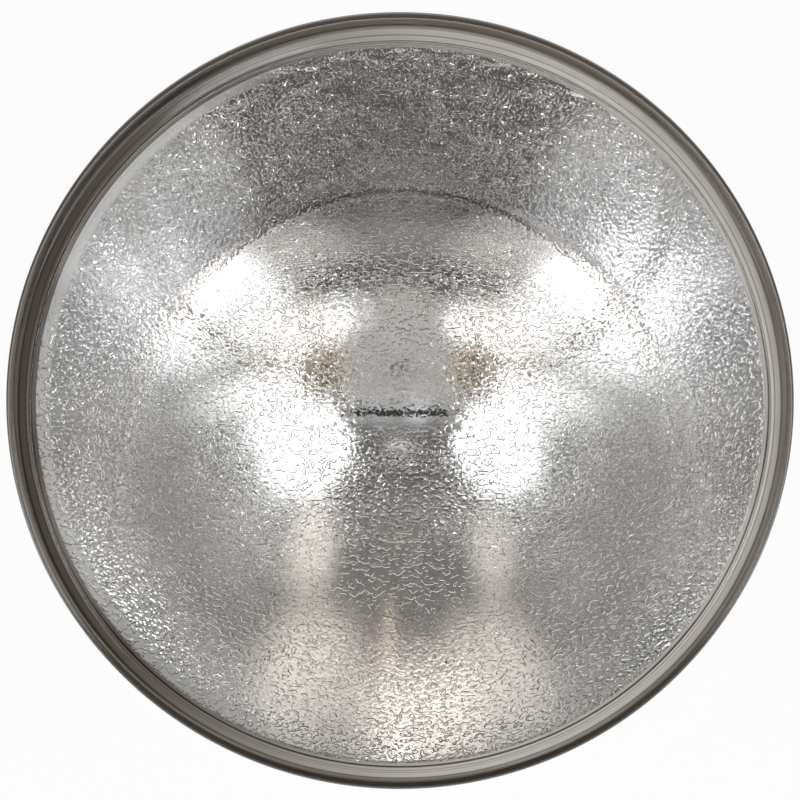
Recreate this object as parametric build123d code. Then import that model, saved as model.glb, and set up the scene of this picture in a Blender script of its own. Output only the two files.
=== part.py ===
import os
from math import sqrt

from build123d import *

# Par spotlight bulb, a 7 inch sealed beam lamp. Millimetres.
# The beam points along +Z and the filament lies along X.
# The origin is the centre of the rim's rear seating face.

# Rim, where the two glass halves are fused
rim_diameter = 178.0
reflector_flange = 5.5
lens_flange = 5.0
seal_width = 7.5
seat_width = 6.0
seat_edge_round = 1.5
seat_root_round = 1.5
seam_round = 0.8
lens_rim_step = 0.6
front_edge_round = 2.7

# Lens
dome_inset = 5.9
dome_foot_round = 0.9
dome_height = 16.0
lens_wall = 4.0

# Reflector
focal_length = 34.0
bowl_wall = 4.5
hub_depth = 8.0
hub_margin = 3.6
exhaust_tube_diameter = 7.0
exhaust_bore_diameter = 3.6
exhaust_stub_length = 5.0
exhaust_point_length = 3.5
exhaust_point_diameter = 2.4

# Ferrules sealed into the hub
ferrule_spacing = 33.8
ferrule_diameter = 9.0
ferrule_wall = 0.7
ferrule_rim_width = 1.3
ferrule_rim_thickness = 0.8
ferrule_reach = 3.5
ferrule_end_round = 0.6
pocket_clearance = 0.5
pocket_depth = 0.4

# Lead posts and filament
post_diameter = 1.5
post_bend_radius = 5.0
post_rise = 8.0
post_straight_end = 8.0
post_tip_length = 1.6
filament_span = 23.4
filament_drop = 4.0
coil_diameter = 1.8
coil_wire = 0.5
coil_pitch = 1.0
coil_gap = 0.4
leg_insert = 2.6
leg_tail = 0.9
leg_clearance = 0.03

# Base
cement_thickness = 1.5
skirt_wall = 4.0
skirt_gap = 1.0
skirt_length = 14.0
base_taper = 7.0
base_depth = 32.0
base_floor = 11.5
base_edge_round = 1.2
shoulder_round = 3.0
nose_wall = 5.0
nose_ledge = 1.5
cavity_clearance = 1.1
cavity_side_clearance = 1.75
cavity_corner_round = 2.0

# Contact blades, straps and rivets
blade_spacing = 16.0
blade_thickness = 1.6
blade_width = 9.5
blade_length = 17.0
blade_tip_round = 2.5
blade_heel_round = 1.0
blade_slot_clearance = 0.1
foot_length = 7.0
strap_width = 5.0
strap_thickness = 0.5
strap_pad_overhang = 2.4
rivet_offset = 4.0
rivet_diameter = 3.0
rivet_hole_clearance = 0.05
rivet_head_diameter = 4.4
rivet_head_height = 1.2
rivet_recess_clearance = 0.4
rivet_recess_depth = 2.0

# Levels and radii that follow from the sizes above
rim_radius = rim_diameter / 2
lens_rim_radius = rim_radius - lens_rim_step
mouth_radius = rim_radius - seal_width
seat_inner_radius = rim_radius - seat_width
seam_z = reflector_flange
flange_front_z = seam_z + lens_flange
vertex_z = seam_z - mouth_radius**2 / (4 * focal_length)
focus_z = vertex_z + focal_length
hub_back_z = vertex_z - hub_depth
bowl_back_z = vertex_z - bowl_wall
outer_focal_length = seat_inner_radius**2 / (4 * -bowl_back_z)

ferrule_x = ferrule_spacing / 2
ferrule_radius = ferrule_diameter / 2
ferrule_rim_radius = ferrule_radius + ferrule_rim_width
ferrule_end_z = hub_back_z - ferrule_reach
pocket_radius = ferrule_rim_radius + pocket_clearance
hub_radius = ferrule_x + ferrule_radius + hub_margin

post_x = filament_span / 2
leg_radius = coil_diameter / 2 - coil_wire - leg_clearance
coil_length = filament_span - post_diameter - 2 * coil_gap - coil_wire

skirt_inner_radius = hub_radius + cement_thickness
skirt_outer_radius = skirt_inner_radius + skirt_wall
nose_z = hub_back_z - base_depth
floor_z = nose_z + base_floor
cavity_radius = ferrule_x + ferrule_radius + cavity_clearance

blade_outer_x = blade_spacing / 2 + blade_thickness / 2
foot_end_x = blade_outer_x + foot_length
rivet_x = blade_outer_x + rivet_offset
cavity_half_length = foot_end_x + strap_thickness + cavity_clearance
cavity_half_width = blade_width / 2 + cavity_side_clearance
nose_half_length = cavity_half_length + nose_wall
nose_half_width = cavity_half_width + nose_wall

sides = {"left": -1, "right": 1}


def mirror_z(radius):
    # Height of the aluminised inner face
    return vertex_z + radius**2 / (4 * focal_length)


def bowl_z(radius):
    # Height of the outer face of the bowl
    return bowl_back_z + radius**2 / (4 * outer_focal_length)


def parabola(start_radius, end_radius, height, focus):
    # A parabola is exactly a Bezier curve of three points
    middle_radius = (start_radius + end_radius) / 2
    middle_z = height(0) + start_radius * end_radius / (4 * focus)
    return Bezier(
        (start_radius, height(start_radius)),
        (middle_radius, middle_z),
        (end_radius, height(end_radius)),
    )


def turned(lines):
    # Solid of revolution about Z from lines drawn as (radius, height)
    outline = Plane.YZ * make_face(lines)
    return revolve(outline, Axis.Z)


def rod(diameter, start, end):
    # Straight round rod between two points
    line = Line(start, end)
    return sweep(Plane(origin=start, z_dir=line % 0) * Circle(diameter / 2), path=line)


def ring_edges(part, radius, height):
    # Circular edges of one radius at one height
    rings = part.edges().filter_by(GeomType.CIRCLE)
    return [e for e in rings if abs(e.radius - radius) < 0.001 and abs(e.center().Z - height) < 0.001]


# Lens: its half of the rim, a little smaller than the reflector's, and a dome of even wall
dome_radius = rim_radius - dome_inset
dome_foot_z = flange_front_z + dome_foot_round
crown_z = dome_foot_z + dome_height
sphere_radius = (dome_radius**2 + dome_height**2) / (2 * dome_height)
sphere_z = crown_z - sphere_radius


def dome_point(radius, inset):
    return (radius, sphere_z + sqrt((sphere_radius - inset) ** 2 - radius**2))


foot_radius = dome_radius + dome_foot_round
foot_middle = dome_foot_round * (1 - sqrt(0.5))
inner_edge = dome_point(mouth_radius, lens_wall)
lens_outline = [
    ThreePointArc((0, crown_z), dome_point(dome_radius / 2, 0), (dome_radius, dome_foot_z)),
    ThreePointArc(
        (dome_radius, dome_foot_z),
        (dome_radius + foot_middle, flange_front_z + foot_middle),
        (foot_radius, flange_front_z),
    ),
    Polyline(
        (foot_radius, flange_front_z),
        (lens_rim_radius, flange_front_z),
        (lens_rim_radius, seam_z),
        (mouth_radius, seam_z),
        inner_edge,
    ),
    ThreePointArc(inner_edge, dome_point(mouth_radius / 2, lens_wall), (0, crown_z - lens_wall)),
    Line((0, crown_z - lens_wall), (0, crown_z)),
]
lens = turned(lens_outline)
lens = fillet(ring_edges(lens, lens_rim_radius, flange_front_z), front_edge_round)
lens = fillet(ring_edges(lens, lens_rim_radius, seam_z), seam_round)

# Reflector: pressed glass paraboloid with the other half of the rim and a hub behind
reflector_outline = [
    parabola(0, mouth_radius, mirror_z, focal_length),
    Polyline(
        (mouth_radius, seam_z),
        (rim_radius, seam_z),
        (rim_radius, 0),
        (seat_inner_radius, 0),
    ),
    parabola(seat_inner_radius, hub_radius, bowl_z, outer_focal_length),
    Polyline(
        (hub_radius, bowl_z(hub_radius)),
        (hub_radius, hub_back_z),
        (0, hub_back_z),
        (0, vertex_z),
    ),
]
reflector = turned(reflector_outline)
reflector = fillet(ring_edges(reflector, rim_radius, seam_z), seam_round)
reflector = fillet(ring_edges(reflector, rim_radius, 0), seat_edge_round)
reflector = fillet(ring_edges(reflector, seat_inner_radius, 0), seat_root_round)

# Exhaust tube: a hollow stub behind the hub, drawn to a closed point
stub_end_z = hub_back_z - exhaust_stub_length
point_z = stub_end_z - exhaust_point_length
tube_radius = exhaust_tube_diameter / 2
exhaust_stub = turned(
    [
        Polyline(
            (0, hub_back_z),
            (tube_radius, hub_back_z),
            (tube_radius, stub_end_z),
            (exhaust_point_diameter / 2, point_z),
            (0, point_z),
            (0, hub_back_z),
        )
    ]
)
exhaust_bore = Pos(0, 0, stub_end_z) * Cylinder(
    exhaust_bore_diameter / 2,
    vertex_z - stub_end_z + hub_depth,
    align=(Align.CENTER, Align.CENTER, Align.MIN),
)
reflector = reflector + exhaust_stub - exhaust_bore

# Ferrule pockets: a flat land in the bowl and a bore through the hub at each side
pocket_z = mirror_z(ferrule_x - pocket_radius) - pocket_depth
bowl_top_z = mirror_z(ferrule_x + pocket_radius)
for side in sides.values():
    pocket = Pos(side * ferrule_x, 0, pocket_z) * Cylinder(
        pocket_radius,
        2 * (bowl_top_z - pocket_z),
        align=(Align.CENTER, Align.CENTER, Align.MIN),
    )
    bore = Pos(side * ferrule_x, 0, hub_back_z) * Cylinder(
        ferrule_radius,
        pocket_z - hub_back_z,
        align=(Align.CENTER, Align.CENTER, Align.MIN),
    )
    reflector = reflector - pocket - bore

# Ferrule: a thin metal cup whose rim lies on the pocket's land
cup_radius = ferrule_radius - ferrule_wall
cup_floor_z = ferrule_end_z + ferrule_wall
ferrule_top_z = pocket_z + ferrule_rim_thickness
ferrule = turned(
    [
        Polyline(
            (0, ferrule_end_z),
            (ferrule_radius, ferrule_end_z),
            (ferrule_radius, pocket_z),
            (ferrule_rim_radius, pocket_z),
            (ferrule_rim_radius, ferrule_top_z),
            (cup_radius, ferrule_top_z),
            (cup_radius, cup_floor_z),
            (0, cup_floor_z),
            (0, ferrule_end_z),
        )
    ]
)
ferrule = fillet(ring_edges(ferrule, ferrule_radius, ferrule_end_z), ferrule_end_round)


def lead_post(side):
    # A bent rod from the ferrule's floor to the filament, drilled across for the leg
    bend_z = ferrule_top_z + post_rise
    tip_z = focus_z + post_tip_length
    foot = (side * ferrule_x, 0, cup_floor_z)
    path = FilletPolyline(
        foot,
        (side * ferrule_x, 0, bend_z),
        (side * post_x, -filament_drop, focus_z - post_straight_end),
        (side * post_x, -filament_drop, tip_z),
        radius=post_bend_radius,
    )
    post = sweep(Plane(origin=foot, z_dir=(0, 0, 1)) * Circle(post_diameter / 2), path=path)
    leg_hole = Pos(side * post_x, -filament_drop, focus_z) * Rot(0, 90, 0) * Cylinder(
        leg_radius + leg_clearance, 2 * post_diameter
    )
    return post - leg_hole


def filament_leg(side):
    # A rod from inside the coil's end through the post
    inner_x = coil_length / 2 - leg_insert
    outer_x = post_x + post_diameter / 2 + leg_tail
    start = (side * inner_x, -filament_drop, focus_z)
    end = (side * outer_x, -filament_drop, focus_z)
    return rod(2 * leg_radius, start, end)


# Filament: one close helix along X through the focus
coil_path = Helix(coil_pitch, coil_length, coil_diameter / 2 - coil_wire / 2)
coil_section = Plane(origin=coil_path @ 0, z_dir=coil_path % 0) * Circle(coil_wire / 2)
coil = sweep(coil_section, path=coil_path, is_frenet=True)
filament = Pos(-coil_length / 2, -filament_drop, focus_z) * Rot(0, 90, 0) * coil

# Base insulator: round skirt over the hub, a sloped shoulder and an oblong nose
skirt_z = bowl_z(skirt_inner_radius) - skirt_gap
shoulder_z = skirt_z - skirt_length
taper_end_z = shoulder_z - base_taper
taper_end_radius = nose_half_length + nose_ledge
skirt = turned(
    [
        Polyline(
            (0, skirt_z),
            (skirt_outer_radius, skirt_z),
            (skirt_outer_radius, shoulder_z),
            (taper_end_radius, taper_end_z),
            (0, taper_end_z),
            (0, skirt_z),
        )
    ]
)
nose_profile = SlotOverall(2 * nose_half_length, 2 * nose_half_width)
nose = extrude(Pos(0, 0, nose_z) * nose_profile, taper_end_z - nose_z)
base_insulator = skirt + nose
nose_rim = base_insulator.faces().sort_by(Axis.Z)[0].edges()
base_insulator = fillet(nose_rim, base_edge_round)
base_insulator = fillet(ring_edges(base_insulator, skirt_outer_radius, shoulder_z), shoulder_round)
base_insulator = fillet(ring_edges(base_insulator, skirt_outer_radius, skirt_z), base_edge_round)

hub_seat = extrude(Pos(0, 0, hub_back_z) * Circle(skirt_inner_radius), skirt_z - hub_back_z)
upper_cavity = extrude(Pos(0, 0, shoulder_z) * Circle(cavity_radius), hub_back_z - shoulder_z)
cavity_profile = RectangleRounded(2 * cavity_half_length, 2 * cavity_half_width, cavity_corner_round)
lower_cavity = extrude(Pos(0, 0, floor_z) * cavity_profile, shoulder_z - floor_z)
base_insulator = base_insulator - hub_seat - upper_cavity - lower_cavity

rivet_recess_radius = rivet_head_diameter / 2 + rivet_recess_clearance
slot_profile = Rectangle(blade_thickness + 2 * blade_slot_clearance, blade_width + 2 * blade_slot_clearance)
for side in sides.values():
    blade_slot = extrude(Pos(side * blade_spacing / 2, 0, nose_z) * slot_profile, base_floor)
    rivet_hole = extrude(
        Pos(side * rivet_x, 0, nose_z) * Circle(rivet_diameter / 2 + rivet_hole_clearance), base_floor
    )
    rivet_recess = extrude(Pos(side * rivet_x, 0, nose_z) * Circle(rivet_recess_radius), rivet_recess_depth)
    base_insulator = base_insulator - blade_slot - rivet_hole - rivet_recess

# Basing cement: the ring that fills the gap between hub and skirt
cement_ring = Circle(skirt_inner_radius) - Circle(hub_radius)
base_cement = extrude(Pos(0, 0, hub_back_z) * cement_ring, skirt_z - hub_back_z)

foot_top_z = floor_z + blade_thickness
pad_top_z = foot_top_z + strap_thickness


def contact_blade(side):
    # A flat prong through the nose with a foot turned outwards on the cavity floor
    tip_z = nose_z - blade_length
    inner_x = blade_outer_x - blade_thickness
    outline = Polyline(
        (side * inner_x, tip_z),
        (side * blade_outer_x, tip_z),
        (side * blade_outer_x, floor_z),
        (side * foot_end_x, floor_z),
        (side * foot_end_x, foot_top_z),
        (side * inner_x, foot_top_z),
        close=True,
    )
    blade = extrude(Plane.XZ * make_face(outline), blade_width / 2, both=True)
    tip_corners = blade.edges().filter_by(Axis.X).group_by(Axis.Z)[0]
    blade = fillet(tip_corners, blade_tip_round)
    heel = blade.edges().filter_by(Axis.Y).group_by(Axis.Z)[-1].sort_by(Axis.X)
    blade = fillet(heel[0] if side > 0 else heel[-1], blade_heel_round)
    return blade - rivet_shaft(side)


def lead_strap(side):
    # A strip from the ferrule's end, down the cavity, to the blade's foot
    outer_x = foot_end_x + strap_thickness
    pad_inner_x = blade_outer_x
    strap_top_z = ferrule_end_z
    outline = Polyline(
        (side * pad_inner_x, foot_top_z),
        (side * outer_x, foot_top_z),
        (side * outer_x, strap_top_z - strap_thickness),
        (side * (ferrule_x + strap_pad_overhang), strap_top_z - strap_thickness),
        (side * (ferrule_x + strap_pad_overhang), strap_top_z),
        (side * foot_end_x, strap_top_z),
        (side * foot_end_x, pad_top_z),
        (side * pad_inner_x, pad_top_z),
        close=True,
    )
    strap = extrude(Plane.XZ * make_face(outline), strap_width / 2, both=True)
    return strap - rivet_shaft(side)


def rivet_shaft(side):
    # Clearance hole that the rivet passes through
    hole_radius = rivet_diameter / 2 + rivet_hole_clearance
    return extrude(Pos(side * rivet_x, 0, nose_z) * Circle(hole_radius), pad_top_z - nose_z)


def contact_rivet(side):
    # Domed head on the strap, shank through the nose and a set head in the recess
    head_radius = rivet_head_diameter / 2
    shank_radius = rivet_diameter / 2
    head_z = pad_top_z + rivet_head_height
    recess_z = nose_z + rivet_recess_depth
    set_head_z = recess_z - rivet_head_height
    dome_sphere = (head_radius**2 + rivet_head_height**2) / (2 * rivet_head_height)
    dome_middle = (head_radius / 2, head_z - dome_sphere + sqrt(dome_sphere**2 - head_radius**2 / 4))
    rivet = turned(
        [
            ThreePointArc((0, head_z), dome_middle, (head_radius, pad_top_z)),
            Polyline(
                (head_radius, pad_top_z),
                (shank_radius, pad_top_z),
                (shank_radius, recess_z),
                (head_radius, recess_z),
                (head_radius, set_head_z),
                (0, set_head_z),
                (0, head_z),
            ),
        ]
    )
    return Pos(side * rivet_x, 0, 0) * rivet


nodes = {
    "lens": lens,
    "reflector": reflector,
    "filament": filament,
    "base_insulator": base_insulator,
    "base_cement": base_cement,
}
for name, side in sides.items():
    nodes[f"ferrule_{name}"] = Pos(side * ferrule_x, 0, 0) * ferrule
    nodes[f"lead_post_{name}"] = lead_post(side)
    nodes[f"filament_leg_{name}"] = filament_leg(side)
    nodes[f"contact_blade_{name}"] = contact_blade(side)
    nodes[f"lead_strap_{name}"] = lead_strap(side)
    nodes[f"contact_rivet_{name}"] = contact_rivet(side)

os.makedirs("parts", exist_ok=True)
for node, part in nodes.items():
    export_step(part, f"parts/{node}.step")
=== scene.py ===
import math

import bpy
import numpy as np
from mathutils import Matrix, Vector


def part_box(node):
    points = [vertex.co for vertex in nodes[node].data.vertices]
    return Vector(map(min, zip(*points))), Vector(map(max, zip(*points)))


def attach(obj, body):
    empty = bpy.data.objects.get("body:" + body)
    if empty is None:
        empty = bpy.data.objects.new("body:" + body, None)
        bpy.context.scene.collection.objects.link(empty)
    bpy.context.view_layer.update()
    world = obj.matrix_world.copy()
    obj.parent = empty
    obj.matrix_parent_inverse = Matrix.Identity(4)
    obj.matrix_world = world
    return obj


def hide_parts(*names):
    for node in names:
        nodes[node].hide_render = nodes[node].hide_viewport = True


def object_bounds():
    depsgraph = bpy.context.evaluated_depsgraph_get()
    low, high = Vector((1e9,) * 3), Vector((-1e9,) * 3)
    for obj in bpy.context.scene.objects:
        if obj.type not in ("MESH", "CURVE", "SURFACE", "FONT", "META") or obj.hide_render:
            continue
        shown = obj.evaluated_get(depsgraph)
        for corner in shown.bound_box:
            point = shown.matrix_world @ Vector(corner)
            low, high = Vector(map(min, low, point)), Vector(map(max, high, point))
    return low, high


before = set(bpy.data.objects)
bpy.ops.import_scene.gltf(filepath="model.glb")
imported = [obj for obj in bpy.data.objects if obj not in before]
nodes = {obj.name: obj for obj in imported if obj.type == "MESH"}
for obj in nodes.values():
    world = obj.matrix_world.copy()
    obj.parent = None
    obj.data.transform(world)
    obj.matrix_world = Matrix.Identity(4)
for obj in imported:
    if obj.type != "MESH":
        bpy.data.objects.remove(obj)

cadBox = [list(corner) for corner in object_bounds()]
print("frame loaded,", len(nodes), "nodes")


def reach(node):
    # the largest distance of a node from the lamp's axis
    return max(math.hypot(v.co.x, v.co.y) for v in nodes[node].data.vertices)


# what the two glass halves share, read from the frame where it shows it; lengths in metres
lensLow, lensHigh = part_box("lens")
lamp = {
    "rimRadius": reach("reflector"),
    "lensRimRadius": reach("lens"),
    "seamZ": lensLow.z,
    "crownZ": lensHigh.z,
    "sealWidth": 0.0075,
    "seamRound": 0.0008,
    "seamSteps": 5,
    "fusedOverlap": 0.00004,  # how far the bowl reaches into the lens
    "glassIor": 1.47,
}
lamp["mouthRadius"] = lamp["rimRadius"] - lamp["sealWidth"]


def clearSelection():
    if bpy.context.object and bpy.context.object.mode != "OBJECT":
        bpy.ops.object.mode_set(mode="OBJECT")
    bpy.ops.object.select_all(action="DESELECT")


def evenSteps(start, end, steps):
    return [start + (end - start) * k / steps for k in range(steps + 1)]


def arcPoints(centre, radius, startAngle, endAngle, steps):
    # points (radius, height) on a round stretch of a profile, angles in degrees
    angles = np.radians(np.linspace(startAngle, endAngle, steps))
    return [(centre[0] + radius * math.cos(a), centre[1] + radius * math.sin(a)) for a in angles]


def turnedRings(name, profile, segments):
    # a capped ring at the first point, drawn out ring by ring along the profile
    clearSelection()
    bpy.ops.mesh.primitive_circle_add(vertices=segments, radius=profile[0][0], fill_type="TRIFAN")
    piece = bpy.context.object
    piece.name = name
    bpy.ops.object.mode_set(mode="EDIT")
    bpy.ops.mesh.select_all(action="SELECT")
    bpy.ops.transform.translate(value=(0, 0, profile[0][1]))
    bpy.ops.mesh.select_mode(type="EDGE")
    bpy.ops.mesh.region_to_loop()
    for (r0, z0), (r1, z1) in zip(profile, profile[1:]):
        bpy.ops.mesh.extrude_region_move(TRANSFORM_OT_translate={"value": (0, 0, z1 - z0)})
        bpy.ops.transform.resize(value=(r1 / r0, r1 / r0, 1), center_override=(0, 0, z1))
    return piece


def finishMesh(piece, smoothAngle):
    # faces outward and smooth up to an angle
    bpy.ops.object.mode_set(mode="EDIT")
    bpy.ops.mesh.select_all(action="SELECT")
    bpy.ops.mesh.normals_make_consistent(inside=False)
    bpy.ops.object.mode_set(mode="OBJECT")
    bpy.ops.object.shade_smooth_by_angle(angle=math.radians(smoothAngle))
    print(piece.name, "has", sum(len(p.vertices) - 2 for p in piece.data.polygons), "triangles")


def shaderInput(tree, socket):
    return tree.nodes["Principled BSDF"].inputs[socket]


def newMaterial(name, values):
    # a material, with the values that are the same all over it
    material = bpy.data.materials.new(name)
    material.use_nodes = True
    for socket, value in values.items():
        shaderInput(material.node_tree, socket).default_value = value
    return material


def feed(tree, socket, value):
    # a socket takes another node's output, or a fixed number or colour
    if isinstance(value, bpy.types.NodeSocket):
        tree.links.new(value, socket)
    else:
        socket.default_value = value


def objectPlace(tree):
    return tree.nodes.new("ShaderNodeTexCoord").outputs["Object"]


def objectAxis(tree, axis):
    parts = tree.nodes.new("ShaderNodeSeparateXYZ")
    feed(tree, parts.inputs["Vector"], objectPlace(tree))
    return parts.outputs[axis]


def axisDistance(tree, middleY=0.0, flatX=1.0):
    # distance from a line along Z through (0, middleY), lengths along X counted by flatX
    flat = tree.nodes.new("ShaderNodeVectorMath")
    flat.operation = "MULTIPLY"
    feed(tree, flat.inputs[0], objectPlace(tree))
    feed(tree, flat.inputs[1], (flatX, 1, 0))
    away = tree.nodes.new("ShaderNodeVectorMath")
    away.operation = "DISTANCE"
    feed(tree, away.inputs[0], flat.outputs["Vector"])
    feed(tree, away.inputs[1], (0, middleY, 0))
    return away.outputs["Value"]


def objectNoise(tree, scale, detail, stretchX=1.0):
    # grain, drawn out along X where stretchX is below 1
    place = objectPlace(tree)
    if stretchX != 1.0:
        stretch = tree.nodes.new("ShaderNodeMapping")
        feed(tree, stretch.inputs["Vector"], place)
        feed(tree, stretch.inputs["Scale"], (stretchX, 1, 1))
        place = stretch.outputs["Vector"]
    noise = tree.nodes.new("ShaderNodeTexNoise")
    feed(tree, noise.inputs["Vector"], place)
    feed(tree, noise.inputs["Scale"], scale)
    feed(tree, noise.inputs["Detail"], detail)
    return noise.outputs["Fac"]


def mapRange(tree, value, fromMin, fromMax, toMin=0.0, toMax=1.0, easing="SMOOTHSTEP"):
    node = tree.nodes.new("ShaderNodeMapRange")
    node.interpolation_type = easing
    feed(tree, node.inputs["Value"], value)
    feed(tree, node.inputs["From Min"], fromMin)
    feed(tree, node.inputs["From Max"], fromMax)
    feed(tree, node.inputs["To Min"], toMin)
    feed(tree, node.inputs["To Max"], toMax)
    return node.outputs["Result"]


def mathNode(tree, operation, *values):
    node = tree.nodes.new("ShaderNodeMath")
    node.operation = operation
    for socket, value in zip(node.inputs, values):
        feed(tree, socket, value)
    return node.outputs["Value"]


def mixNode(tree, kind, blend, factor, first, second):
    node = tree.nodes.new("ShaderNodeMix")
    node.data_type = kind
    node.blend_type = blend
    feed(tree, node.inputs["Factor"], factor)
    feed(tree, node.inputs["A"], first)
    feed(tree, node.inputs["B"], second)
    return node.outputs["Result"]


def colorRamp(tree, value, stops):
    # stops: position along the value, colour
    ramp = tree.nodes.new("ShaderNodeValToRGB")
    elements = ramp.color_ramp.elements
    while len(elements) < len(stops):
        elements.new(0.5)
    for element, (position, color) in zip(elements, stops):
        element.position = position
        element.color = (*color, 1)
    feed(tree, ramp.inputs["Fac"], value)
    return ramp.outputs["Color"]


def addBump(tree, height, strength=1.0, depth=1.0):
    bump = tree.nodes.new("ShaderNodeBump")
    feed(tree, bump.inputs["Height"], height)
    feed(tree, bump.inputs["Strength"], strength)
    feed(tree, bump.inputs["Distance"], depth)
    feed(tree, shaderInput(tree, "Normal"), bump.outputs["Normal"])


def addTones(tree, dark, light, scale, low=0.35, high=0.65):
    # a colour that drifts between two tones, and the grain that it follows
    grain = objectNoise(tree, scale, detail=3.0)
    feed(tree, shaderInput(tree, "Base Color"), colorRamp(tree, grain, [(low, dark), (high, light)]))
    return grain


# lens: a dome of clear glass, smooth outside, stippled inside
lens = {
    "wall": 0.004,
    "domeInset": 0.0059,
    "domeHeight": 0.016,
    "domeRings": 26,
    "capRadius": 0.002,
    "footRound": 0.0009,
    "footSteps": 5,
    "frontRound": 0.0027,
    "frontSteps": 9,
    "ringSegments": 272,
    "gridSpan": 272,
    "reliefGrain": 0.0011,
    "reliefDepth": 0.00001,
    "smoothAngle": 35,
    "tint": (0.97, 0.98, 0.98),
    "edgeTint": (0.42, 0.37, 0.32),
    "edgeRoughness": 0.02,
    "edgeStart": 0.0004,
    # fine orange peel over the whole inner face, fainter in its upper part
    "peel": {
        "scale": 1200,
        "low": 0.32,
        "high": 0.70,
        "depth": 0.00005,
        "fullY": 0.008,
        "faintY": 0.034,
        "faintShare": 0.6,
    },
    # short raised pips, all of them in the lower middle and fewer at the sides
    "pips": {
        "scale": 1200,
        "stretch": 0.70,
        "low": 0.52,
        "high": 0.68,
        "depth": 0.00034,
        "middleY": -0.020,
        "flatX": 1.1,
        "full": 0.055,
        "none": 0.070,
        "sideShare": 0.65,
        "sideFromY": 0.035,
        "sideToY": 0.005,
    },
    # a calmer patch in front of the filament
    "window": {
        "middleY": 0.0012,
        "flatX": 0.18,
        "inner": 0.0020,
        "outer": 0.0048,
        "peelShare": 0.3,
    },
}


def clearGlass(name, tint, roughness=0.0):
    return newMaterial(name, {
        "Base Color": (*tint, 1),
        "Roughness": roughness,
        "IOR": lamp["glassIor"],
        "Transmission Weight": 1.0,
    })


def addStipple(tree, peel, pips, window):
    # peel and pips as one height in metres
    up = objectAxis(tree, "Y")
    fromWindow = axisDistance(tree, window["middleY"], window["flatX"])

    peelNoise = objectNoise(tree, peel["scale"], detail=0.0)
    peelHeight = mapRange(tree, peelNoise, peel["low"], peel["high"], 0.0, peel["depth"])
    calm = mapRange(tree, fromWindow, window["inner"], window["outer"], window["peelShare"], 1.0)
    faint = mapRange(tree, up, peel["fullY"], peel["faintY"], 1.0, peel["faintShare"])
    peelHeight = mathNode(tree, "MULTIPLY", peelHeight, mathNode(tree, "MULTIPLY", calm, faint))

    pipNoise = objectNoise(tree, pips["scale"], detail=0.0, stretchX=pips["stretch"])
    pipHeight = mapRange(tree, pipNoise, pips["low"], pips["high"], 0.0, pips["depth"])
    fromMiddle = axisDistance(tree, pips["middleY"], pips["flatX"])
    below = mapRange(tree, fromMiddle, pips["none"], pips["full"])
    beside = mapRange(tree, up, pips["sideFromY"], pips["sideToY"], 0.0, pips["sideShare"])
    outside = mapRange(tree, fromWindow, window["inner"], window["outer"])
    pipShare = mathNode(tree, "MULTIPLY", mathNode(tree, "MAXIMUM", below, beside), outside)
    addBump(tree, mathNode(tree, "MULTIPLY_ADD", pipHeight, pipShare, peelHeight))


glassClear = clearGlass("glass_clear", lens["tint"])
glassStippled = clearGlass("glass_stippled", lens["tint"])
addStipple(glassStippled.node_tree, lens["peel"], lens["pips"], lens["window"])
glassEdge = clearGlass("glass_edge", lens["edgeTint"], lens["edgeRoughness"])


def lensProfile(lens):
    # from the crown over the dome and round the rim to the mouth, and the dome's sphere
    rim, seam, crown = lamp["lensRimRadius"], lamp["seamZ"], lamp["crownZ"]
    foot, front, fused = lens["footRound"], lens["frontRound"], lamp["seamRound"]
    domeRadius = lamp["rimRadius"] - lens["domeInset"]
    footZ = crown - lens["domeHeight"]
    frontZ = footZ - foot
    sphere = (domeRadius**2 + lens["domeHeight"] ** 2) / (2 * lens["domeHeight"])
    sphereZ = crown - sphere
    points = []
    for r in evenSteps(lens["capRadius"], domeRadius, lens["domeRings"]):
        points.append((r, sphereZ + math.sqrt(sphere**2 - r**2)))
    points += arcPoints((domeRadius + foot, footZ), foot, 180, 270, lens["footSteps"])[1:]
    points += arcPoints((rim - front, frontZ - front), front, 90, 0, lens["frontSteps"])
    points += arcPoints((rim - fused, seam + fused), fused, 0, -90, lamp["seamSteps"])
    points.append((lamp["mouthRadius"], seam))
    return points, sphere, sphereZ


def makeInnerFace(lens, innerSphere, sphereZ):
    # a fine square mesh in a round edge, domed and with a shallow relief
    clearSelection()
    bpy.ops.mesh.primitive_circle_add(vertices=4 * lens["gridSpan"], radius=lamp["mouthRadius"])
    face = bpy.context.object
    bpy.ops.object.mode_set(mode="EDIT")
    bpy.ops.mesh.select_all(action="SELECT")
    bpy.ops.mesh.fill_grid(span=lens["gridSpan"])
    bpy.ops.object.mode_set(mode="OBJECT")
    co = np.zeros(len(face.data.vertices) * 3, np.float32)
    face.data.vertices.foreach_get("co", co)
    co = co.reshape(-1, 3)
    co[:, 2] = sphereZ + np.sqrt(innerSphere**2 - co[:, 0] ** 2 - co[:, 1] ** 2)
    face.data.vertices.foreach_set("co", co.ravel())
    relief = bpy.data.textures.new("relief", "CLOUDS")
    relief.noise_scale = lens["reliefGrain"]
    relief.noise_depth = 0
    push = face.modifiers.new("relief", "DISPLACE")
    push.texture = relief
    push.texture_coords = "LOCAL"
    push.direction = "Z"
    push.strength = lens["reliefDepth"]
    bpy.ops.object.modifier_apply(modifier=push.name)
    return face


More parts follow.
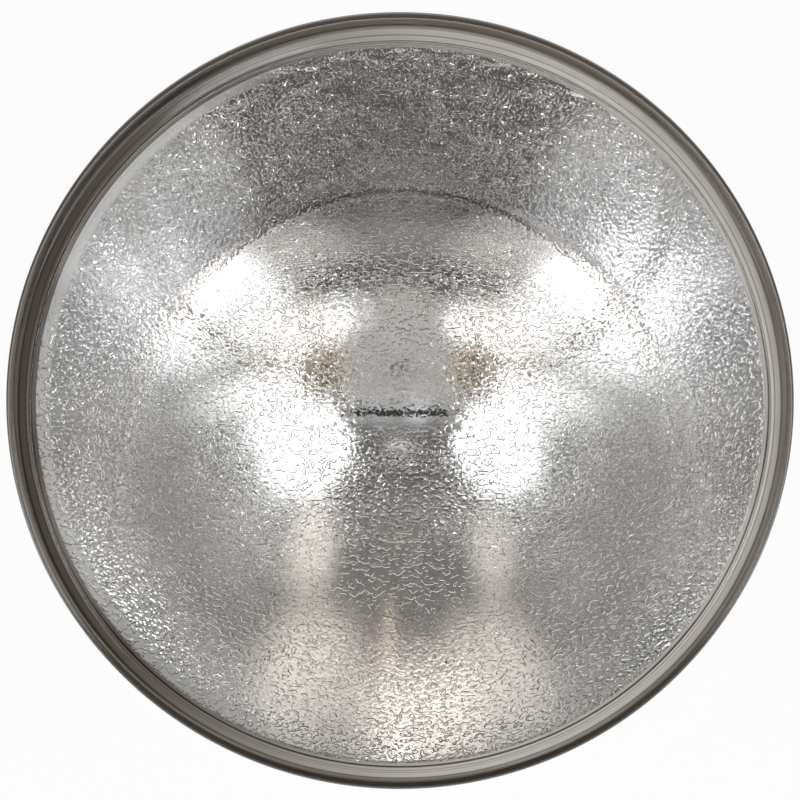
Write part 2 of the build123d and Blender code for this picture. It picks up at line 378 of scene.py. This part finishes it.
def makeLens(lens):
    profile, sphere, sphereZ = lensProfile(lens)
    body = turnedRings("lens_glass", profile, lens["ringSegments"])
    bpy.ops.object.mode_set(mode="OBJECT")
    body.data.materials.append(glassClear)
    face = makeInnerFace(lens, sphere - lens["wall"], sphereZ)
    face.data.materials.append(glassStippled)

    # join the two open edges into one closed shell
    clearSelection()
    face.select_set(True)
    body.select_set(True)
    bpy.context.view_layer.objects.active = body
    bpy.ops.object.join()
    bpy.ops.object.mode_set(mode="EDIT")
    bpy.ops.mesh.select_mode(type="EDGE")
    bpy.ops.mesh.select_all(action="DESELECT")
    bpy.ops.mesh.select_non_manifold()
    bpy.ops.mesh.bridge_edge_loops()
    finishMesh(body, lens["smoothAngle"])

    # the rounded rim is darker glass
    body.data.materials.append(glassEdge)
    edgeSlot = len(body.data.materials) - 1
    edgeRadius = lamp["lensRimRadius"] - lens["frontRound"] + lens["edgeStart"]
    for polygon in body.data.polygons:
        if math.hypot(*polygon.center[:2]) > edgeRadius:
            polygon.material_index = edgeSlot
    return body


lensPiece = makeLens(lens)
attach(lensPiece, "root")
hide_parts("lens")
print("lens made")

# reflector: pressed glass, a mirror inside, silver seen through glass outside
bowl = {
    "focalLength": 0.034,
    "wall": 0.0045,
    "hubDepth": 0.008,
    "hubRadius": 0.025,
    "seatWidth": 0.006,
    "seatEdgeRound": 0.0015,
    "seatEdgeSteps": 7,
    "boreRadius": 0.0018,
    "tubeRadius": 0.0035,
    "stubLength": 0.005,
    "pointLength": 0.0035,
    "pointRadius": 0.0012,
    "ferruleX": 0.0169,
    "ferruleRadius": 0.0045,
    "pocketRadius": 0.0063,
    "pocketDepth": 0.0004,
    "cutterHeight": 0.02,
    "cutterSpare": 0.001,
    "holeSides": 64,
    "coatRadius": 0.0864,
    "flangeFall": 0.00005,
    "segments": 256,
    "mirrorRings": 80,
    "backRings": 40,
    "smoothAngle": 35,
    "holeSmoothAngle": 30,
    # how far from its ideal surface a face still counts as coat or rim
    "coatMargin": 0.0003,
    "rimMargin": 0.0005,
    "rimBelow": 0.0008,
    "mirror": {"color": (0.87, 0.865, 0.86), "grain": 60, "depth": 0.00004},
    # the coat close to the hub, and at its edge on one side
    "hubFrost": {"inner": 0.006, "outer": 0.021, "rough": 0.24, "metal": 0.32},
    "wornEdge": {
        "inner": 0.0786,
        "outer": 0.0794,
        "fadeX": -0.020,
        "fullX": -0.050,
        "rough": 0.4,
        "metal": 0.0,
    },
    "flange": {
        "roughness": 0.6,
        "grain": 1500,
        "depth": 0.00003,
        # painted reflection: the flange's colour runs from dark brown on the left to white on the right,
        # standing in for the brighter room it mirrors on the right
        "paintedShadeX": -0.075,
        "paintedLightX": 0.025,
        "paintedShadeTint": (0.20, 0.175, 0.15),
        "paintedLightTint": (1.0, 1.0, 1.0),
    },
    # tones of the fused rim in rings around the lamp's axis: radius, colour
    "flangeRings": [
        (0.0815, (0.88, 0.85, 0.81)),
        (0.0821, (0.92, 0.90, 0.87)),
        (0.0823, (0.10, 0.08, 0.065)),
        (0.0825, (0.10, 0.08, 0.065)),
        (0.0828, (0.98, 0.95, 0.91)),
        (0.0842, (0.98, 0.96, 0.93)),
        (0.0844, (0.42, 0.38, 0.34)),
        (0.0846, (0.93, 0.92, 0.90)),
        (0.0857, (0.96, 0.95, 0.93)),
        (0.0859, (0.30, 0.27, 0.24)),
        (0.0864, (0.55, 0.51, 0.46)),
    ],
    "rimRings": [
        (0.0864, (0.34, 0.30, 0.255)),
        (0.0868, (0.10, 0.080, 0.060)),
        (0.0875, (0.16, 0.128, 0.096)),
        (0.0880, (0.075, 0.058, 0.043)),
        (0.0885, (0.13, 0.104, 0.080)),
        (0.0889, (0.06, 0.046, 0.036)),
    ],
    "rim": {"roughness": 0.38, "specular": 0.3},
    "silver": {
        "dark": (0.49, 0.50, 0.51),
        "light": (0.55, 0.555, 0.56),
        "scale": 45,
        "roughness": 0.22,
        "bump": 0.4,
        "depth": 0.0003,
    },
}


def frostCoat(tree, hub, edge):
    # the coat is duller and paler close to the hub, and thin at its edge on one side
    side = mapRange(tree, objectAxis(tree, "X"), edge["fadeX"], edge["fullX"])
    ring = mapRange(tree, axisDistance(tree), edge["inner"], edge["outer"])
    worn = mathNode(tree, "MULTIPLY", side, ring)
    for socket, level, clear in (("Roughness", "rough", 0.0), ("Metallic", "metal", 1.0)):
        share = mapRange(tree, axisDistance(tree), hub["inner"], hub["outer"], hub[level], clear)
        feed(tree, shaderInput(tree, socket), mixNode(tree, "FLOAT", "MIX", worn, share, edge[level]))


def ringTones(tree, rings):
    # a colour that changes with the distance from the lamp's axis
    inner, outer = rings[0][0], rings[-1][0]
    share = mapRange(tree, axisDistance(tree), inner, outer, easing="LINEAR")
    stops = [((radius - inner) / (outer - inner), color) for radius, color in rings]
    return colorRamp(tree, share, stops)


def paintSideReflection(tree, color, flange):
    # a colour with a painted reflection: darker towards one side of the lamp and paler towards the other
    share = mapRange(tree, objectAxis(tree, "X"), flange["paintedShadeX"], flange["paintedLightX"])
    tint = mixNode(tree, "RGBA", "MIX", share, (*flange["paintedShadeTint"], 1), (*flange["paintedLightTint"], 1))
    return mixNode(tree, "RGBA", "MULTIPLY", 1.0, color, tint)


def makeMirrorCoat(mirror, hub, edge):
    material = newMaterial("mirror_coat", {"Base Color": (*mirror["color"], 1)})
    tree = material.node_tree
    addBump(tree, objectNoise(tree, mirror["grain"], detail=2.0), depth=mirror["depth"])
    frostCoat(tree, hub, edge)
    return material


def makeFlangeCoat(flange, rings):
    material = newMaterial("flange_coat", {"Metallic": 1.0, "Roughness": flange["roughness"]})
    tree = material.node_tree
    addBump(tree, objectNoise(tree, flange["grain"], detail=2.0), depth=flange["depth"])
    # the rings' colour times a painted reflection, dark on the left and white on the right
    feed(tree, shaderInput(tree, "Base Color"), paintSideReflection(tree, ringTones(tree, rings), flange))
    return material


def makeRimBrown(rim, rings):
    material = newMaterial("rim_brown", {
        "Roughness": rim["roughness"],
        "Specular IOR Level": rim["specular"],
    })
    tree = material.node_tree
    feed(tree, shaderInput(tree, "Base Color"), ringTones(tree, rings))
    return material


def makeSilveredGlass(silver):
    material = newMaterial("silvered_glass", {
        "Metallic": 1.0,
        "Roughness": silver["roughness"],
        "Coat Weight": 1.0,
        "Coat IOR": lamp["glassIor"],
    })
    grain = addTones(material.node_tree, silver["dark"], silver["light"], silver["scale"])
    addBump(material.node_tree, grain, silver["bump"], silver["depth"])
    return material


mirrorCoat = makeMirrorCoat(bowl["mirror"], bowl["hubFrost"], bowl["wornEdge"])
flangeCoat = makeFlangeCoat(bowl["flange"], bowl["flangeRings"])
rimBrown = makeRimBrown(bowl["rim"], bowl["rimRings"])
silveredGlass = makeSilveredGlass(bowl["silver"])


def cutHole(piece, place, radius, low, high, sides):
    clearSelection()
    bpy.ops.mesh.primitive_cylinder_add(
        vertices=sides, radius=radius, depth=high - low, location=(*place, (low + high) / 2)
    )
    cutter = bpy.context.object
    bpy.context.view_layer.objects.active = piece
    cut = piece.modifiers.new("hole", "BOOLEAN")
    cut.object = cutter
    cut.operation = "DIFFERENCE"
    cut.solver = "EXACT"
    bpy.ops.object.modifier_apply(modifier=cut.name)
    bpy.data.objects.remove(cutter)


def makeReflector(bowl):
    rim, mouth = lamp["rimRadius"], lamp["mouthRadius"]
    seam = lamp["seamZ"] + lamp["fusedOverlap"]
    fused, edge = lamp["seamRound"], bowl["seatEdgeRound"]
    bore, hub, tube = bowl["boreRadius"], bowl["hubRadius"], bowl["tubeRadius"]
    vertexZ = lamp["seamZ"] - mouth**2 / (4 * bowl["focalLength"])
    backZ = vertexZ - bowl["wall"]
    hubZ = vertexZ - bowl["hubDepth"]
    stubZ = hubZ - bowl["stubLength"]
    seatInner = rim - bowl["seatWidth"]
    backFocal = seatInner**2 / (-4 * backZ)

    def mirrorZ(r):
        return vertexZ + r**2 / (4 * bowl["focalLength"])

    # up the bore, over the mirror, round the rim, down the back and out along the tube
    points = [(bore, stubZ)]
    points += [(r, mirrorZ(r)) for r in evenSteps(bore, mouth, bowl["mirrorRings"])[:-1]]
    points += [(mouth, seam), (bowl["coatRadius"], seam - bowl["flangeFall"])]
    points += arcPoints((rim - fused, seam - fused), fused, 90, 0, lamp["seamSteps"])
    points += arcPoints((rim - edge, edge), edge, 0, -90, bowl["seatEdgeSteps"])
    points += [(r, backZ + r**2 / (4 * backFocal)) for r in evenSteps(seatInner, hub, bowl["backRings"])]
    points += [(hub, hubZ), (tube, hubZ), (tube, stubZ)]
    points.append((bowl["pointRadius"], stubZ - bowl["pointLength"]))
    piece = turnedRings("reflector_bowl", points, bowl["segments"])
    bpy.ops.mesh.edge_face_add()
    finishMesh(piece, bowl["smoothAngle"])

    # a land and a bore for each ferrule
    pocketZ = mirrorZ(bowl["ferruleX"] - bowl["pocketRadius"]) - bowl["pocketDepth"]
    spare = bowl["cutterSpare"]
    for side in (-1, 1):
        for radius, low, high in (
            (bowl["pocketRadius"], pocketZ, pocketZ + bowl["cutterHeight"]),
            (bowl["ferruleRadius"], hubZ - spare, pocketZ + spare),
        ):
            cutHole(piece, (side * bowl["ferruleX"], 0), radius, low, high, bowl["holeSides"])
    clearSelection()
    piece.select_set(True)
    bpy.context.view_layer.objects.active = piece

    coats = [mirrorCoat, flangeCoat, rimBrown, silveredGlass]
    for coat in coats:
        piece.data.materials.append(coat)
    for face in piece.data.polygons:
        x, y, z = face.center
        r = math.hypot(x, y)
        if r < mouth and z > mirrorZ(r) - bowl["coatMargin"]:
            coat = mirrorCoat
        elif mouth < r < bowl["coatRadius"] and z > seam - bowl["coatMargin"]:
            coat = flangeCoat
        elif r > seatInner - bowl["rimMargin"] and z > -bowl["rimBelow"]:
            coat = rimBrown
        else:
            coat = silveredGlass
        face.material_index = coats.index(coat)
    bpy.ops.object.shade_smooth_by_angle(angle=math.radians(bowl["holeSmoothAngle"]))
    return piece


reflectorPiece = makeReflector(bowl)
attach(reflectorPiece, "root")
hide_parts("reflector")
print("reflector made")

# finishes of the pieces that keep their CAD shape
metalGrain = {"bump": 0.3, "depth": 0.00005}
metalFinishes = {
    "tungsten": {
        "dark": (0.045, 0.042, 0.042),
        "light": (0.10, 0.095, 0.092),
        "scale": 900,
        "roughness": 0.42,
    },
    "brass_ferrule": {
        "dark": (0.90, 0.78, 0.60),
        "light": (0.97, 0.88, 0.74),
        "scale": 420,
        "roughness": 0.42,
    },
    "nickel_wire": {
        "dark": (0.66, 0.61, 0.55),
        "light": (0.82, 0.78, 0.73),
        "scale": 500,
        "roughness": 0.25,
    },
    "nickel_blade": {
        "dark": (0.60, 0.585, 0.56),
        "light": (0.68, 0.67, 0.645),
        "scale": 260,
        "roughness": 0.30,
    },
    "brass_rivet": {
        "dark": (0.55, 0.38, 0.16),
        "light": (0.75, 0.58, 0.30),
        "scale": 500,
        "roughness": 0.28,
    },
}


def metalFinish(name, finish):
    material = newMaterial(name, {"Metallic": 1.0, "Roughness": finish["roughness"]})
    grain = addTones(material.node_tree, finish["dark"], finish["light"], finish["scale"])
    addBump(material.node_tree, grain, metalGrain["bump"], metalGrain["depth"])
    return material


ceramicGrain = {"scale": 1400, "detail": 3.0, "bump": 0.35, "depth": 0.00012}
ceramicFinishes = {
    "steatite_white": {
        "dark": (0.76, 0.74, 0.68),
        "light": (0.83, 0.81, 0.76),
        "scale": 160,
        "roughness": 0.55,
    },
    "cement_grey": {
        "dark": (0.50, 0.47, 0.40),
        "light": (0.68, 0.65, 0.58),
        "scale": 420,
        "roughness": 0.9,
    },
}


def ceramicFinish(name, finish):
    material = newMaterial(name, {"Roughness": finish["roughness"]})
    addTones(material.node_tree, finish["dark"], finish["light"], finish["scale"])
    grain = objectNoise(material.node_tree, ceramicGrain["scale"], ceramicGrain["detail"])
    addBump(material.node_tree, grain, ceramicGrain["bump"], ceramicGrain["depth"])
    return material


finishes = {name: metalFinish(name, finish) for name, finish in metalFinishes.items()}
finishes.update({name: ceramicFinish(name, finish) for name, finish in ceramicFinishes.items()})
finishOfNode = {
    "filament": "tungsten",
    "filament_leg": "tungsten",
    "ferrule": "brass_ferrule",
    "lead_post": "nickel_wire",
    "lead_strap": "nickel_wire",
    "contact_blade": "nickel_blade",
    "contact_rivet": "brass_rivet",
    "base_insulator": "steatite_white",
    "base_cement": "cement_grey",
}
for node, piece in nodes.items():
    kind = node.removesuffix("_left").removesuffix("_right")
    if kind in finishOfNode:
        piece.data.materials.clear()
        piece.data.materials.append(finishes[finishOfNode[kind]])
print("finishes set")

# light: soft boxes by their direction off the lamp's axis, degrees along X and along Y
softboxSetup = {
    "distance": 2.0,
    "apart": 0.01,  # each box stands this much farther than the one before
    "core": 0.25,  # share of its width at full brightness
    "crispCore": {
        "keyPlus": 0.7,
        "keyMinus": 0.7,
        "sidePlus": 0.55,
        "sideMinus": 0.55,
        "nearMinus": 0.5,
    },
}
softboxes = {
    # along X, along Y, width, height, radiance at its middle, tint
    "keyPlus": (33, 16.5, 36, 33, 2.4, "plain"),
    "keyPlusSide": (47, 7, 20, 18, 1.8, "plain"),
    "keyMinus": (-34, 16.5, 33, 31, 2.4, "plain"),
    "keyMinusSide": (-40, 5, 40, 20, 1.2, "plain"),
    "sidePlus": (59, -36, 48, 38, 1.8, "plain"),
    "sideMinus": (-60, -34, 48, 40, 1.8, "plain"),
    "innerPlus": (33, -22, 40, 40, 1.8, "warm"),
    "innerMinus": (-33, -22, 40, 40, 1.8, "warm"),
    "nearPlus": (7.8, 4.2, 9, 8, 2.2, "cool"),
    "nearMinus": (-6.6, 3.8, 9.5, 8.5, 4.0, "cool"),
    "edgePlus": (68, -43, 40, 30, 2.2, "plain"),
    "edgeMinus": (-68, -43, 44, 32, 3.0, "plain"),
    "lowPlus": (21, -32, 14, 16, 1.4, "plain"),
    "lowMinus": (-20, -29, 14, 18, 1.4, "plain"),
    "bandPlus": (44, -6, 58, 20, 1.6, "plain"),
    "bandMinus": (-44, -6, 58, 20, 1.5, "plain"),
    "ahead": (0, 19.5, 17, 10, 0.7, "plain"),
    "belowNear": (0, -23, 24, 12, 0.8, "warm"),
    "upPlus": (40, -56, 52, 26, 0.45, "warm"),
    "upMinus": (-40, -56, 52, 26, 0.50, "warm"),
    "below": (0, -31, 44, 36, 0.5, "warm"),
    "beyond": (0, -60, 90, 22, 0.25, "warm"),
    "tailPlus": (30, 45, 22, 34, 0.9, "amber"),
    "tailMinus": (-31, 46, 18, 32, 0.7, "amber"),
    "farPlus": (27, 69, 34, 26, 1.0, "amber"),
    "farMinus": (-28, 69, 34, 26, 0.85, "amber"),
    "farUp": (-5, 78, 40, 22, 1.5, "amber"),
    "streak": (3.5, 67, 5, 18, 0.9, "tan"),
    "arch": (1, 85.5, 8, 3, 5.0, "plain"),
}
softboxTints = {
    "plain": (1.0, 1.0, 1.0),
    "warm": (1.09, 1.0, 0.94),
    "amber": (1.13, 1.0, 0.90),
    "cool": (0.98, 1.0, 1.05),
    "tan": (1.15, 0.95, 0.70),
}


def softEdge(tree, core):
    # brightest in the middle, fading to nothing at the edge
    half = 0.5  # the box runs from 0 to 1 in its own coordinates
    place = tree.nodes.new("ShaderNodeNewGeometry")
    parts = tree.nodes.new("ShaderNodeSeparateXYZ")
    flat = tree.nodes.new("ShaderNodeCombineXYZ")
    feed(tree, parts.inputs["Vector"], place.outputs["Parametric"])
    feed(tree, flat.inputs["X"], parts.outputs["X"])
    feed(tree, flat.inputs["Y"], parts.outputs["Y"])
    away = tree.nodes.new("ShaderNodeVectorMath")
    away.operation = "DISTANCE"
    feed(tree, away.inputs[0], flat.outputs["Vector"])
    feed(tree, away.inputs[1], (half, half, 0))
    fade = mapRange(tree, away.outputs["Value"], half, half * core)
    feed(tree, tree.nodes["Emission"].inputs["Strength"], fade)


def addSoftbox(name, distance, alongX, alongY, width, height, radiance, tint):
    off = math.radians(math.hypot(alongX, alongY))
    turn = math.atan2(alongY, alongX)
    toward = Vector((math.sin(off) * math.cos(turn), math.sin(off) * math.sin(turn), math.cos(off)))
    data = bpy.data.lights.new(name, "AREA")
    data.color = softboxTints[tint]
    data.shape = "ELLIPSE"
    data.size = 2 * distance * math.tan(math.radians(width) / 2)
    data.size_y = 2 * distance * math.tan(math.radians(height) / 2)
    data.energy = radiance * math.pi * (math.pi / 4 * data.size * data.size_y)
    data.use_nodes = True
    softEdge(data.node_tree, softboxSetup["crispCore"].get(name, softboxSetup["core"]))
    box = bpy.data.objects.new(name, data)
    box.location = toward * distance
    box.rotation_mode = "QUATERNION"
    box.rotation_quaternion = Vector((0, 0, 1)).rotation_difference(toward)
    box.visible_camera = False
    bpy.context.scene.collection.objects.link(box)


for step, (name, box) in enumerate(softboxes.items()):
    addSoftbox(name, softboxSetup["distance"] + softboxSetup["apart"] * step, *box)

# the room: darker straight ahead of the lamp, lighter to the sides, warm far up
room = {
    "alongZ": [
        (0.0, (0.45, 0.435, 0.42)),
        (0.11, (0.20, 0.195, 0.19)),
        (0.22, (0.045, 0.046, 0.047)),
        (0.50, (0.045, 0.046, 0.047)),
        (0.88, (0.12, 0.11, 0.105)),
        (0.98, (0.13, 0.123, 0.118)),
    ],
    "alongY": [
        (0.66, (0.0, 0.0, 0.0)),
        (0.98, (0.12, 0.11, 0.10)),
    ],
}
world = bpy.data.worlds.new("studio")
bpy.context.scene.world = world
world.use_nodes = True
sky = world.node_tree
skyParts = sky.nodes.new("ShaderNodeSeparateXYZ")
feed(sky, skyParts.inputs["Vector"], sky.nodes.new("ShaderNodeTexCoord").outputs["Generated"])
aheadColor = colorRamp(sky, skyParts.outputs["Z"], room["alongZ"])
upperColor = colorRamp(sky, skyParts.outputs["Y"], room["alongY"])
skyColor = mixNode(sky, "RGBA", "ADD", 1.0, aheadColor, upperColor)
feed(sky, sky.nodes["Background"].inputs["Color"], skyColor)
print("light set")

# floor: white to the eye, to metal and to glass, and it keeps the lamp's shadow
floorSetup = {"size": 16, "color": (0.9, 0.9, 0.9), "roughness": 0.8, "glowShare": 0.93}
clearSelection()
bpy.ops.mesh.primitive_plane_add(size=floorSetup["size"], location=(0, 0, cadBox[0][2]))
floor = bpy.context.object
floor.name = "floor"
floorPaint = newMaterial("floor_paint", {
    "Base Color": (*floorSetup["color"], 1),
    "Roughness": floorSetup["roughness"],
})
paint = floorPaint.node_tree
rayKind = paint.nodes.new("ShaderNodeLightPath")
seen = rayKind.outputs["Is Camera Ray"]
for ray in ("Is Glossy Ray", "Is Transmission Ray"):
    seen = mathNode(paint, "MAXIMUM", seen, rayKind.outputs[ray])
glow = paint.nodes.new("ShaderNodeEmission")
mixer = paint.nodes.new("ShaderNodeMixShader")
feed(paint, mixer.inputs["Fac"], mathNode(paint, "MULTIPLY", seen, floorSetup["glowShare"]))
feed(paint, mixer.inputs[1], paint.nodes["Principled BSDF"].outputs["BSDF"])
feed(paint, mixer.inputs[2], glow.outputs["Emission"])
feed(paint, paint.nodes["Material Output"].inputs["Surface"], mixer.outputs["Shader"])
floor.data.materials.append(floorPaint)
print("floor set")

# camera: a little above the lamp's axis, lengths in metres and the sensor in millimetres
cameraSetup = {"distance": 1.2, "offAxis": 10.5, "span": 0.1807, "aimUp": 0.0015, "sensor": 36}
cameraData = bpy.data.cameras.new("camera")
camera = bpy.data.objects.new("camera", cameraData)
bpy.context.scene.collection.objects.link(camera)
tilt = math.radians(cameraSetup["offAxis"])
upward = Vector((0, math.cos(tilt), -math.sin(tilt)))
backward = Vector((0, math.sin(tilt), math.cos(tilt)))
aim = Vector((0, 0, lamp["seamZ"])) + cameraSetup["aimUp"] * upward
camera.location = aim + cameraSetup["distance"] * backward
camera.rotation_euler = (-tilt, 0, 0)
cameraData.sensor_width = cameraSetup["sensor"]
cameraData.lens = cameraSetup["sensor"] * cameraSetup["distance"] / cameraSetup["span"]
bpy.context.scene.camera = camera

bpy.context.scene.view_settings.view_transform = "Standard"
print("camera set")
